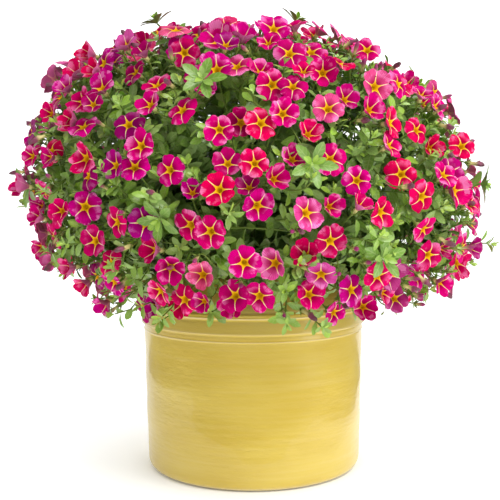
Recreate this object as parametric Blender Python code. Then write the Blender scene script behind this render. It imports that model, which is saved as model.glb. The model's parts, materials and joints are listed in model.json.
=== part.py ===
"""A calibrachoa in flower, planted in a wheel-thrown and glazed stoneware pot.

Metres, +Z up. The pot stands on Z = 0 with its axis on the Z axis, and -Y is the front.
Every shoot is a solid of its own that stands in its own hole in the soil: the flowering
sprays carry the blooms, and the leafy stems carry the leaves.
"""
import math
import random

import bpy
from mathutils import Matrix, Vector
from mathutils.bvhtree import BVHTree

MM = 0.001
GAP = 0.3 * MM  # left between two pieces that touch on the real plant
GOLDEN_ANGLE = math.radians(137.508)
CRISP_ANGLE = math.radians(25)
SEED = 7

# The pot: radii and heights of its outside, from the foot to the lip
TURNED_SIDES = 28
FOOT_RADIUS, FOOT_ROUNDING = 97 * MM, 10 * MM
WALL_RADIUS_LOW, WALL_RADIUS_HIGH = 106.4 * MM, 109 * MM
LOW_BAND_Z, HIGH_BAND_Z = 139 * MM, 161 * MM
BAND_HALF_WIDTH, BAND_PROUD = 3.6 * MM, 1.6 * MM
COLLAR_RADIUS = 112.4 * MM
NECK_RADIUS, LIP_Z = 113.2 * MM, 199 * MM
WALL_THICKNESS, FLOOR_THICKNESS = 7.8 * MM, 11 * MM
DRAIN_HOLES, DRAIN_RADIUS, DRAIN_RING = 3, 5 * MM, 48 * MM

# The soil: its height at the pot's wall and at the middle
SOIL_EDGE_Z, SOIL_MIDDLE_Z = 184 * MM, 188 * MM

# The dome that the plant fills, measured from its centre, which is on the pot's axis
DOME_CENTRE_Z = 262 * MM
DOME_RADIUS, DOME_UP, DOME_DOWN = 224 * MM, 174 * MM, 134 * MM
DOME_SQUARENESS = 2.4  # power of the curve over the top; 2 would be a plain ellipse
DOME_LEAN = 0.12  # the dome leans to the left by this share of the height above its centre

# The shoots, numbered outwards from the middle of the pot
SHOOTS = 54
SPRAYS_IN_NINE = 5  # of nine shoots in a row, this many flower
SHOOT_RING = 86 * MM  # furthest place of a shoot from the pot's axis
SHOOT_LAST_ANGLE = math.radians(112)  # tip of the outermost shoot, from straight up
SHOOT_SHARE = 0.84  # a stem ends this far out towards the dome's surface
STEM_RADIUS, STEM_TIP_RADIUS = 2.9 * MM, 2.2 * MM
STEM_SIDES = 3
STEM_CLEAR_OF_SOIL = 4 * MM  # a stem runs straight up to here, then starts to bend
STEM_RISE, STEM_LEAN = 62 * MM, 18 * MM  # where the curve heads for as it leaves the soil
STEM_REACH = 62 * MM  # length of the curve's last pull, towards the dome's surface
STEM_DROOP, STEM_STEEPEST = 1.15, math.radians(140)
HOLE_DEPTH, HOLE_OVERSHOOT = 24 * MM, 8 * MM

# A bloom: five broad lobes round a throat, on a tube that narrows into its stalk
BLOOMS = 316
BLOOM_RADIUS = 15.2 * MM
NOTCH_SHARE = 0.71  # radius of the notch between two lobes
RIM_RISE, THROAT_DEPTH = 1.6 * MM, 3.0 * MM
TUBE_RADIUS, TUBE_DEPTH = 2.4 * MM, 6.2 * MM
BLOOM_LAST_ANGLE = math.radians(126)  # lowest blooms, from straight up
BLOOM_DEPTHS = (-2 * MM, 20 * MM)  # under the dome's surface

# A tuft: the ring of five oval leaves at the end of a leafy twig
TUFTS = 36
TUFT_LEAVES = 5
LEAF_LENGTH, LEAF_HALF_ANGLE = 22 * MM, math.radians(21)
LEAF_WIDEST = 0.56  # share of the leaf's length where it is widest
LEAF_RISE, LEAF_FOLD = 8 * MM, 1.2 * MM
AXIL_RADIUS = 4 * MM  # where the edges of two neighbouring leaves meet
TWIG_RADIUS, TWIG_DEPTH = 1.3 * MM, 3.4 * MM
TUFT_LAST_ANGLE = math.radians(118)
TUFT_DEPTHS = (-8 * MM, 34 * MM)

# Stalks and twigs, from the head down to their root on the stem's middle line
ROOT_RADIUS = 0.85 * MM
STALK_SHORTEST, STALK_LONGEST = 20 * MM, 108 * MM
STALK_BEND = math.radians(52)  # most that a head turns away from its stalk
ROOT_FROM, ROOT_TO, ROOT_PLACES = 0.42, 0.97, 26

# How the heads lie: drawn anew, and more loosely each time, until one is clear of the rest
ATTEMPTS = 60
STEMS_TRIED = 4
SPOT_SPREAD, HEADING_SPREAD = 0.06, 0.08
LEAN_AT_TOP, LEAN_SHARE, LEAN_MOST = 0.16, 0.88, math.radians(96)
LEAN_SPREAD, TURN_SPREAD = 0.24, 0.3

CLEAR = 0.5 * MM  # a piece is tried this much larger, so that it stays clear of the others


def add_node(name, corners, faces, material):
    """One named solid from its corners and faces."""
    mesh = bpy.data.meshes.new(name)
    mesh.from_pydata([tuple(corner) for corner in corners], [], faces)
    mesh.materials.append(material)
    node = bpy.data.objects.new(name, mesh)
    bpy.context.scene.collection.objects.link(node)
    return node


def add_finish(name, colour, roughness):
    """A Principled BSDF of one colour."""
    finish = bpy.data.materials.new(name)
    finish.use_nodes = True
    surface = finish.node_tree.nodes["Principled BSDF"]
    surface.inputs["Base Color"].default_value = (*colour, 1.0)
    surface.inputs["Roughness"].default_value = roughness
    surface.inputs["Metallic"].default_value = 0.0
    finish.diffuse_color = (*colour, 1.0)
    return finish


def apply_boolean(node, cutters, operation):
    """Cuts or joins a group of solids into the node, and removes the group."""
    group = bpy.data.collections.new(node.name + "_group")
    bpy.context.scene.collection.children.link(group)
    for cutter in cutters:
        bpy.context.scene.collection.objects.unlink(cutter)
        group.objects.link(cutter)
    boolean = node.modifiers.new("join", "BOOLEAN")
    boolean.operation = operation
    boolean.operand_type = "COLLECTION"
    boolean.collection = group
    boolean.solver = "EXACT"
    evaluated = node.evaluated_get(bpy.context.evaluated_depsgraph_get())
    joined = bpy.data.meshes.new_from_object(evaluated)
    node.modifiers.clear()
    node.data = joined
    for cutter in cutters:
        bpy.data.objects.remove(cutter)
    bpy.data.collections.remove(group)


def turned_solid(outline, sides):
    """Corners and faces of an outline, from the axis round to the axis, turned about Z."""
    corners = [Vector((0, 0, outline[0][1])), Vector((0, 0, outline[-1][1]))]
    for radius, height in outline[1:-1]:
        for side in range(sides):
            angle = math.tau * side / sides
            corners.append(Vector((radius * math.cos(angle), radius * math.sin(angle), height)))
    rings = len(outline) - 2
    faces = []
    for side in range(sides):
        after = (side + 1) % sides
        faces.append((0, 2 + after, 2 + side))
        for ring in range(rings - 1):
            low, high = 2 + ring * sides, 2 + (ring + 1) * sides
            faces.append((low + side, low + after, high + after, high + side))
        last = 2 + (rings - 1) * sides
        faces.append((1, last + side, last + after))
    return corners, faces


def inner_radius(height):
    """Radius of the pot's inside wall at a height."""
    low, high = (FOOT_RADIUS + 3 * MM, 2 * FLOOR_THICKNESS), (NECK_RADIUS - WALL_THICKNESS, LIP_Z)
    share = (height - low[1]) / (high[1] - low[1])
    return low[0] + share * (high[0] - low[0])


def pot_outline():
    """The pot's outline: foot, wall, two raised bands with the collar between, neck and lip."""
    foot = [
        (FOOT_RADIUS, 0),
        (FOOT_RADIUS + 0.7 * (WALL_RADIUS_LOW - FOOT_RADIUS), 0.3 * FOOT_ROUNDING),
        (WALL_RADIUS_LOW, FOOT_ROUNDING),
    ]
    low_band = [
        (WALL_RADIUS_HIGH, LOW_BAND_Z - BAND_HALF_WIDTH),
        (WALL_RADIUS_HIGH + BAND_PROUD, LOW_BAND_Z),
        (WALL_RADIUS_HIGH, LOW_BAND_Z + BAND_HALF_WIDTH),
    ]
    high_band = [
        (COLLAR_RADIUS, HIGH_BAND_Z - BAND_HALF_WIDTH),
        (COLLAR_RADIUS + BAND_PROUD, HIGH_BAND_Z),
        (COLLAR_RADIUS, HIGH_BAND_Z + BAND_HALF_WIDTH),
    ]
    lip = []
    lip_centre_z = LIP_Z - WALL_THICKNESS / 2
    for step in range(4):
        angle = math.pi * step / 3
        radius = NECK_RADIUS - WALL_THICKNESS / 2 * (1 - math.cos(angle))
        lip.append((radius, lip_centre_z + WALL_THICKNESS / 2 * math.sin(angle)))
    inside = [
        (inner_radius(2 * FLOOR_THICKNESS), 2 * FLOOR_THICKNESS),
        (FOOT_RADIUS - 5 * MM, FLOOR_THICKNESS),
    ]
    return [(0, 0), *foot, *low_band, *high_band, *lip, *inside, (0, FLOOR_THICKNESS)]


def make_pot(glaze):
    pot = add_node("pot", *turned_solid(pot_outline(), TURNED_SIDES), glaze)
    drains = []
    for hole in range(DRAIN_HOLES):
        angle = math.tau * hole / DRAIN_HOLES
        corners, faces = turned_solid(
            [
                (0, -FLOOR_THICKNESS),
                (DRAIN_RADIUS, -FLOOR_THICKNESS),
                (DRAIN_RADIUS, 2 * FLOOR_THICKNESS),
                (0, 2 * FLOOR_THICKNESS),
            ],
            8,
        )
        shift = Vector((DRAIN_RING * math.cos(angle), DRAIN_RING * math.sin(angle), 0))
        drains.append(add_node("drain", [corner + shift for corner in corners], faces, glaze))
    apply_boolean(pot, drains, "DIFFERENCE")
    return pot


def soil_height(radius):
    """The soil is mounded a little towards the middle."""
    return SOIL_MIDDLE_Z - (SOIL_MIDDLE_Z - SOIL_EDGE_Z) * (radius / inner_radius(SOIL_EDGE_Z)) ** 2


def soil_outline():
    low, edge = 2 * FLOOR_THICKNESS, inner_radius(SOIL_EDGE_Z) - GAP
    return [
        (0, FLOOR_THICKNESS + GAP),
        (FOOT_RADIUS - 5 * MM - GAP, FLOOR_THICKNESS + GAP),
        (inner_radius(low) - 2 * GAP, low + GAP),
        (edge, SOIL_EDGE_Z),
        (0.55 * edge, soil_height(0.55 * edge)),
        (0, SOIL_MIDDLE_Z),
    ]


def dome_point(angle, heading, depth=0.0):
    """Point of the plant's outer surface, at an angle from straight up and a compass heading."""
    power = DOME_SQUARENESS if angle < math.pi / 2 else 2.0
    tall = DOME_UP if angle < math.pi / 2 else DOME_DOWN
    across, up = abs(math.sin(angle)) / DOME_RADIUS, abs(math.cos(angle)) / tall
    reach = (across**power + up**power) ** (-1 / power) - depth
    flat, height = reach * math.sin(angle), reach * math.cos(angle)
    place = Vector((flat * math.cos(heading), flat * math.sin(heading), height))
    place.x -= DOME_LEAN * height
    place.z += DOME_CENTRE_Z
    return place


def direction(angle, heading):
    """Unit vector at an angle from straight up and a compass heading."""
    flat = math.sin(angle)
    return Vector((flat * math.cos(heading), flat * math.sin(heading), math.cos(angle)))


def across(axis):
    """Two unit vectors square to an axis and to each other."""
    side = axis.orthogonal().normalized()
    return side, axis.cross(side).normalized()


def tube(points, radii, sides):
    """Corners and faces of a closed tube through a few points."""
    corners, faces = [], []
    side = across(points[1] - points[0])[0]
    for index, point in enumerate(points):
        before = points[max(index - 1, 0)]
        after = points[min(index + 1, len(points) - 1)]
        axis = (after - before).normalized()
        side = (side - axis * side.dot(axis)).normalized()
        other = axis.cross(side)
        for step in range(sides):
            angle = math.tau * step / sides
            offset = side * math.cos(angle) + other * math.sin(angle)
            corners.append(point + radii[index] * offset)
    for index in range(len(points) - 1):
        low, high = index * sides, (index + 1) * sides
        for step in range(sides):
            after = (step + 1) % sides
            faces.append((low + step, low + after, high + after, high + step))
    faces.append(tuple(reversed(range(sides))))
    faces.append(tuple(range(len(corners) - sides, len(corners))))
    return corners, faces


class Piece:
    """A closed solid, with a slightly larger copy that is tried against the other pieces."""

    def __init__(self, shoot, is_stem, solid, tried):
        self.shoot, self.is_stem = shoot, is_stem
        self.corners, self.faces = solid
        self.tree = BVHTree.FromPolygons(*tried)
        self.low = [min(corner[axis] for corner in tried[0]) for axis in range(3)]
        self.high = [max(corner[axis] for corner in tried[0]) for axis in range(3)]

    def meets(self, other):
        for axis in range(3):
            if self.low[axis] > other.high[axis] or other.low[axis] > self.high[axis]:
                return False
        return bool(self.tree.overlap(other.tree))


def is_clear(piece, placed):
    """True if a piece meets nothing but the stem that it grows on."""
    for other in placed:
        own_stem = other.is_stem and other.shoot == piece.shoot
        if not own_stem and piece.meets(other):
            return False
    return True


def stem_piece(shoot, points, radius, tip_radius):
    count = len(points) - 1
    radii = [radius + (tip_radius - radius) * index / count for index in range(len(points))]
    solid = tube(points, radii, STEM_SIDES)
    tried = tube(points, [value + CLEAR for value in radii], STEM_SIDES)
    return Piece(shoot, True, solid, tried)


def bloom_rim():
    """Radius, angle and height of each point round a bloom: one to a lobe, one to a notch."""
    rim = []
    for lobe in range(5):
        middle = math.tau * lobe / 5
        rim.append((BLOOM_RADIUS, middle, RIM_RISE))
        rim.append((NOTCH_SHARE * BLOOM_RADIUS, middle + math.pi / 5, 0.6 * RIM_RISE))
    return rim


def tuft_rim():
    """Radius, angle and height of each point round a tuft: edge, tip, edge and axil of a leaf."""
    rim = []
    widest = LEAF_WIDEST * LEAF_LENGTH
    edge_height = LEAF_WIDEST * LEAF_RISE + LEAF_FOLD
    for leaf in range(TUFT_LEAVES):
        middle = math.tau * leaf / TUFT_LEAVES
        rim.append((widest, middle - LEAF_HALF_ANGLE, edge_height))
        rim.append((LEAF_LENGTH, middle, LEAF_RISE))
        rim.append((widest, middle + LEAF_HALF_ANGLE, edge_height))
        rim.append((AXIL_RADIUS, middle + math.pi / TUFT_LEAVES, 0.5 * MM))
    return rim


def head_solid(head, centre, facing, roll, root, spare):
    """A bloom or a tuft of leaves, with its stalk, which runs down to its root in the stem."""
    rim, hub_depth, neck_radius, neck_depth = head
    side, other = across(facing)
    corners, faces = [], []
    count = len(rim)

    def place(radius, angle, height):
        turned = side * math.cos(angle + roll) + other * math.sin(angle + roll)
        corners.append(centre + turned * radius + facing * height)

    for radius, angle, height in rim:
        place(radius + spare, angle, height)
    place(0, 0, spare - hub_depth)
    for step in range(3):
        place(neck_radius + spare, rim[0][1] + math.tau * (step + 0.5) / 3, -neck_depth - spare)
    neck = centre - facing * (neck_depth + spare)
    stalk_axis = (neck - root).normalized()
    for step in range(3):
        outward = corners[count + 1 + step] - neck
        outward = (outward - stalk_axis * outward.dot(stalk_axis)).normalized()
        corners.append(root + outward * (ROOT_RADIUS + spare))
    hub, neck_first, root_first = count, count + 1, count + 4
    for point in range(count):
        after = (point + 1) % count
        faces.append((point, after, hub))
        faces.append((after, point, neck_first + 3 * point // count))
    for step in range(3):
        after = (step + 1) % 3
        turn_point = math.ceil(count * (step + 1) / 3) % count
        faces.append((turn_point, neck_first + step, neck_first + after))
        faces.append((neck_first + step, root_first + step, root_first + after, neck_first + after))
    faces.append((root_first + 2, root_first + 1, root_first))
    return corners, faces


def stem_points(shoot):
    """A shoot rises from its hole, leans out with the others and ends near the dome's surface."""
    share = math.sqrt((shoot + 0.5) / SHOOTS)
    heading = shoot * GOLDEN_ANGLE
    tip_angle = math.acos(1 - share**2 * (1 - math.cos(SHOOT_LAST_ANGLE)))
    start_radius = share * SHOOT_RING
    outward = direction(math.pi / 2, heading)
    start = outward * start_radius
    start.z = soil_height(start_radius) + STEM_CLEAR_OF_SOIL
    tip = dome_point(tip_angle, heading, (1 - SHOOT_SHARE) * DOME_UP)
    rise = start + outward * STEM_LEAN * share + Vector((0, 0, STEM_RISE))
    last_angle = min(STEM_DROOP * tip_angle, STEM_STEEPEST)
    arrive = tip - direction(last_angle, heading) * STEM_REACH
    points = [start - (rise - start).normalized() * HOLE_DEPTH]
    for step in (0, 0.34, 0.67, 1):
        back = 1 - step
        points.append(
            start * back**3
            + rise * 3 * back**2 * step
            + arrive * 3 * back * step**2
            + tip * step**3
        )
    return points


def point_along(points, share):
    """Place at a share of the length of the line through the points."""
    lengths = [(after - before).length for before, after in zip(points, points[1:])]
    left = share * sum(lengths)
    for index, length in enumerate(lengths):
        if left <= length:
            return points[index].lerp(points[index + 1], left / length)
        left -= length
    return points[-1]


def stalk_root(points, taken, neck, facing):
    """Nearest free place on a stem for a head's stalk, or None where the stem is out of reach."""
    best = None
    for place in range(ROOT_PLACES):
        if place in taken or place - 1 in taken or place + 1 in taken:
            continue
        root = point_along(points, ROOT_FROM + (ROOT_TO - ROOT_FROM) * place / (ROOT_PLACES - 1))
        stalk = neck - root
        in_reach = STALK_SHORTEST < stalk.length < STALK_LONGEST
        if in_reach and stalk.angle(facing) < STALK_BEND and (not best or stalk.length < best[0]):
            best = (stalk.length, root, place)
    return best


def place_heads(head, count, last_angle, depths, turn, stems, placed, draw):
    """Heads spread evenly over the dome, each on the nearest stem that can carry it."""
    taken = {shoot: set() for shoot in stems}
    for number in range(count):
        share = (number + 0.5) / count
        angle = math.acos(1 - share * (1 - math.cos(last_angle)))
        heading = number * GOLDEN_ANGLE + turn
        for attempt in range(ATTEMPTS):
            loose = 0.6 + 2 * attempt / ATTEMPTS
            spot_angle = abs(angle + draw.gauss(0, SPOT_SPREAD) * loose)
            spot_heading = heading + draw.gauss(0, HEADING_SPREAD) * loose
            centre = dome_point(spot_angle, spot_heading, draw.uniform(*depths))
            lean = LEAN_AT_TOP + LEAN_SHARE * min(spot_angle, LEAN_MOST)
            lean += draw.gauss(0, LEAN_SPREAD)
            facing = direction(lean, spot_heading + draw.gauss(0, TURN_SPREAD))
            neck = centre - facing * head[3]
            nearest = sorted(stems, key=lambda shoot: (stems[shoot][-1] - neck).length)
            shoot = nearest[attempt % STEMS_TRIED]
            found = stalk_root(stems[shoot], taken[shoot], neck, facing)
            if not found:
                continue
            lie = (head, centre, facing, draw.uniform(0, math.tau), found[1])
            piece = Piece(shoot, False, head_solid(*lie, 0.0), head_solid(*lie, CLEAR))
            if is_clear(piece, placed):
                placed.append(piece)
                taken[shoot].add(found[2])
                break


def join_shoot(name, shoot, stem, placed, finish):
    """One solid from a shoot's stem and every head on it, with its origin at the stem's foot."""
    pieces = [piece for piece in placed if piece.shoot == shoot]
    node = add_node(name, pieces[0].corners, pieces[0].faces, finish)
    heads = [add_node("head", piece.corners, piece.faces, finish) for piece in pieces[1:]]
    apply_boolean(node, heads, "UNION")
    node.data.transform(Matrix.Translation(-stem[0]))
    node.location = stem[0]
    return node


def shade_round(node):
    """Smooth shading, with the edges of the foot, bands and lip left crisp."""
    node.data.shade_smooth()
    node.data.set_sharp_from_angle(angle=CRISP_ANGLE)


for old in list(bpy.data.objects):
    bpy.data.objects.remove(old)

draw = random.Random(SEED)
glaze = add_finish("mustard_glaze", (0.72, 0.49, 0.08), 0.15)
earth = add_finish("potting_soil", (0.035, 0.02, 0.012), 0.9)
leaf_green = add_finish("leaf_green", (0.10, 0.19, 0.04), 0.55)
petal_pink = add_finish("petal_pink", (0.62, 0.02, 0.14), 0.5)

# Pot first: the stems and heads keep clear of it
pot = make_pot(glaze)
shade_round(pot)
pot_solid = (
    [vertex.co.copy() for vertex in pot.data.vertices],
    [tuple(face.vertices) for face in pot.data.polygons],
)
placed = [Piece(None, True, pot_solid, pot_solid)]

# Stems, and the hole in the soil that each one stands in
stems = {shoot: stem_points(shoot) for shoot in range(SHOOTS)}
soil = add_node("soil", *turned_solid(soil_outline(), TURNED_SIDES), earth)
holes = []
for shoot, stem in stems.items():
    placed.append(stem_piece(shoot, stem, STEM_RADIUS, STEM_TIP_RADIUS))
    axis = (stem[1] - stem[0]).normalized()
    hole_line = [stem[0] - axis * GAP, stem[1] + axis * HOLE_OVERSHOOT]
    holes.append(add_node("hole", *tube(hole_line, [STEM_RADIUS + 2 * GAP] * 2, STEM_SIDES), earth))
apply_boolean(soil, holes, "DIFFERENCE")
shade_round(soil)

# Heads: tufts lie a little deeper than the blooms, so they are placed first
flowering = [shoot * SPRAYS_IN_NINE % 9 < SPRAYS_IN_NINE for shoot in stems]
sprays = {shoot: stem for shoot, stem in stems.items() if flowering[shoot]}
leafy = {shoot: stem for shoot, stem in stems.items() if not flowering[shoot]}
tuft = (tuft_rim(), 0.0, TWIG_RADIUS, TWIG_DEPTH)
bloom = (bloom_rim(), THROAT_DEPTH, TUBE_RADIUS, TUBE_DEPTH)
place_heads(tuft, TUFTS, TUFT_LAST_ANGLE, TUFT_DEPTHS, 0.9, leafy, placed, draw)
place_heads(bloom, BLOOMS, BLOOM_LAST_ANGLE, BLOOM_DEPTHS, 0.4, sprays, placed, draw)

# Everything stands on the pot's base
planting = bpy.data.objects.new("planting", None)
bpy.context.scene.collection.objects.link(planting)
nodes = [pot, soil]
for number, (shoot, stem) in enumerate(sprays.items(), 1):
    nodes.append(join_shoot(f"flower_spray_{number:02d}", shoot, stem, placed, petal_pink))
for number, (shoot, stem) in enumerate(leafy.items(), 1):
    nodes.append(join_shoot(f"leafy_stem_{number:02d}", shoot, stem, placed, leaf_green))
for node in nodes:
    node.parent = planting
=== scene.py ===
"""A calibrachoa in flower in its glazed pot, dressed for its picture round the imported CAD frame.

Metres, +Z up, and -Y is the front. Lengths are written in millimetres, times MM.
"""
import json
import math

import bpy
import numpy as np
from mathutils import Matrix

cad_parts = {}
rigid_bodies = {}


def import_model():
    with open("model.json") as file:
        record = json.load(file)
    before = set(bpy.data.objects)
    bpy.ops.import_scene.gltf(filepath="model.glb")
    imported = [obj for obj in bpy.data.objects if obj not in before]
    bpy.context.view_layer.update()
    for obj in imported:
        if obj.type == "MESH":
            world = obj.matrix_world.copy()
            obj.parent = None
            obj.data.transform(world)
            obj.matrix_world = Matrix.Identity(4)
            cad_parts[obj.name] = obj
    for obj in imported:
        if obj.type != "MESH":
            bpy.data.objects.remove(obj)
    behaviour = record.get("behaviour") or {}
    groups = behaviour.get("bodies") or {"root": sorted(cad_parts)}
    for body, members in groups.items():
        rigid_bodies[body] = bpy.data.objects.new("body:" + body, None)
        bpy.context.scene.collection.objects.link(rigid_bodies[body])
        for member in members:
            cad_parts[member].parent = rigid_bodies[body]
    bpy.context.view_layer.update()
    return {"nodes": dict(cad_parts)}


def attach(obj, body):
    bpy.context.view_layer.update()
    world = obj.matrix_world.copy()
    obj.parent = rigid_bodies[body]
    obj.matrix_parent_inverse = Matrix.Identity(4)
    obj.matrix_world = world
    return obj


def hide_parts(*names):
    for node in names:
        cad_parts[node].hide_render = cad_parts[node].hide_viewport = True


for old in list(bpy.data.objects):
    bpy.data.objects.remove(old)
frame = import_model()
MM = 0.001

# The camera stands in front of the pot, a little above the middle of the plant, and looks slightly
# down. Its lens and sensor are in millimetres.
CAMERA_PLACE = (-2.9 * MM, -950 * MM, 283 * MM)
CAMERA_LENS, CAMERA_SENSOR = 68.2, 36
CAMERA_PITCH, CAMERA_ROLL = math.radians(4.1), math.radians(-0.28)
camera_data = bpy.data.cameras.new("camera")
camera_data.lens = CAMERA_LENS
camera_data.sensor_width = CAMERA_SENSOR
camera = bpy.data.objects.new("camera", camera_data)
camera.location = CAMERA_PLACE
camera.rotation_mode = "ZYX"
camera.rotation_euler = (math.pi / 2 - CAMERA_PITCH, 0, CAMERA_ROLL)
bpy.context.scene.collection.objects.link(camera)
bpy.context.scene.camera = camera


# White studio paper, laid flat and swept up behind the pot. It is plain and matt, and a painted
# glow keeps it clean white all round, dimmed about the foot to paint a soft shadow there.
def linear(code):
    """Linear colour, with alpha, of an sRGB hex code."""
    values = [int(code[place:place + 2], 16) / 255 for place in (1, 3, 5)]
    return [v / 12.92 if v < 0.04045 else ((v + 0.055) / 1.055) ** 2.4 for v in values] + [1.0]


def add_node(material, kind, links=(), stops=(), **settings):
    """Adds a shader node. links holds, for an input, a value or the output that feeds it, and stops
    the places along a colour ramp, each with its sRGB hex colour or its plain share."""
    tree = material.node_tree
    node = tree.nodes.new("ShaderNode" + kind)
    for name, value in settings.items():
        setattr(node, name, value)
    for name, source in dict(links).items():
        if isinstance(source, bpy.types.NodeSocket):
            tree.links.new(source, node.inputs[name])
        else:
            node.inputs[name].default_value = source
    if stops:
        points = node.color_ramp.elements
        points[0].position, points[1].position = stops[0][0], stops[-1][0]
        for at, _ in stops[1:-1]:
            points.new(at)
        for point, (_, tone) in zip(points, stops):
            point.color = linear(tone) if isinstance(tone, str) else (tone, tone, tone, 1)
    return node


def new_finish(name, **values):
    """A Principled surface; each value is set on its own socket, with _ for a space in its name."""
    material = bpy.data.materials.new(name)
    material.use_nodes = True
    surface = material.node_tree.nodes["Principled BSDF"]
    for socket, value in values.items():
        surface.inputs[socket.replace("_", " ")].default_value = value
    return material, surface


FLOOR_HALF, FLOOR_BACK, SWEEP, SWEEP_STEPS = 3.0, 1.6, 0.8, 12
paper, paper_surface = new_finish(
    "studio_paper", Base_Color=linear("#F7F7F7"), Roughness=0.9, Specular_IOR_Level=0.1,
    Emission_Color=linear("#FAFDFF"),
)
# The paper's painted glow is nil under the pot's foot, which paints a soft shadow there, and full a hand's
# breadth away from it
GLOW_FROM, GLOW_FULL = 90 * MM, 190 * MM
PAINTED_GLOW_AND_SHADOW = [(0.0, 0.0), (0.1, 0.1), (0.17, 0.36), (0.35, 0.46), (1.0, 0.62)]
on_paper = add_node(paper, "TexCoord").outputs["Object"]
from_pot = add_node(paper, "VectorMath", {0: on_paper}, operation="LENGTH").outputs["Value"]
glow_share = add_node(paper, "MapRange", {0: from_pot, 1: GLOW_FROM, 2: GLOW_FULL}).outputs[0]
painted_glow_and_shadow = add_node(paper, "ValToRGB", {0: glow_share}, PAINTED_GLOW_AND_SHADOW).outputs[0]
paper.node_tree.links.new(painted_glow_and_shadow, paper_surface.inputs["Emission Strength"])
profile = [(-FLOOR_HALF, 0.0)]
for angle in np.linspace(0, math.pi / 2, SWEEP_STEPS + 1):
    profile.append((FLOOR_BACK + SWEEP * math.sin(angle), SWEEP * (1 - math.cos(angle))))
profile.append((FLOOR_BACK + SWEEP, FLOOR_HALF))
floor_mesh = bpy.data.meshes.new("floor")
floor_mesh.from_pydata(
    [(side * FLOOR_HALF, y, z) for y, z in profile for side in (-1, 1)],
    [],
    [(2 * k, 2 * k + 1, 2 * k + 3, 2 * k + 2) for k in range(len(profile) - 1)],
)
floor_mesh.shade_smooth()
floor_mesh.materials.append(paper)
floor = bpy.data.objects.new("floor", floor_mesh)
bpy.context.scene.collection.objects.link(floor)

# Black cards lie on the paper in front of the pot and at both sides, and only reflections show
# them. In the glaze they leave the upper wall deep, and the lower wall and the edges pale.
CARD_FRONT, CARD_LEFT, CARD_RIGHT, CARD_BACK, CARD_END = -0.19, -0.4, 0.28, 0.45, 2.8
CARD_Z = 3 * MM
card_finish, _ = new_finish("black_card", Base_Color=linear("#1C1A16"), Roughness=0.9)
card_mesh = bpy.data.meshes.new("cards")
card_corners = []
for left, right, near, far in (
    (-CARD_END, CARD_END, -CARD_END, CARD_FRONT),
    (-CARD_END, CARD_LEFT, CARD_FRONT, CARD_BACK),
    (CARD_RIGHT, CARD_END, CARD_FRONT, CARD_BACK),
):
    card_corners += [(x, y, CARD_Z) for x, y in ((left, near), (right, near), (right, far), (left, far))]
card_mesh.from_pydata(card_corners, [], [tuple(range(first, first + 4)) for first in (0, 4, 8)])
card_mesh.materials.append(card_finish)
cards = bpy.data.objects.new("cards", card_mesh)
cards.visible_camera = False
cards.visible_diffuse = False
cards.visible_shadow = False
cards.visible_transmission = False
bpy.context.scene.collection.objects.link(cards)

# Studio light: a white room, bright along its foot and dim above, a large soft key high on the
# right in front, and a small soft box low on the right that gives the glaze its upright sheen.
world = bpy.data.worlds.new("white_room")
world.use_nodes = True
toward = add_node(world, "TexCoord").outputs["Generated"]
toward_up = add_node(world, "SeparateXYZ", {0: toward}).outputs["Z"]
brightness = add_node(world, "MapRange", {0: toward_up, 1: 0.06, 2: 0.2, 3: 1.0, 4: 0.29}).outputs[0]
room = world.node_tree.nodes["Background"]
room.inputs["Color"].default_value = linear("#FFFFFF")
world.node_tree.links.new(brightness, room.inputs["Strength"])
bpy.context.scene.world = world
bpy.context.scene.view_settings.view_transform = "Standard"
# Place and size in metres, and power in watts
SOFT_BOXES = {
    "key": ((0.68, -0.97, 1.7), (1.3, 1.3), 28),
    "side": ((1.15, -0.7, 0.4), (0.5, 0.9), 3.2),
}
AIM = np.array((0, 0, 200 * MM))
for name, (place, size, power) in SOFT_BOXES.items():
    box_data = bpy.data.lights.new(name, "AREA")
    box_data.shape = "RECTANGLE"
    box_data.size, box_data.size_y = size
    box_data.energy = power
    box = bpy.data.objects.new(name, box_data)
    box.location = place
    back = np.array(place) - AIM
    flat = math.hypot(back[0], back[1])
    box.rotation_euler = (math.atan2(flat, back[2]), 0, math.atan2(back[0], -back[1]))
    bpy.context.scene.collection.objects.link(box)


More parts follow.
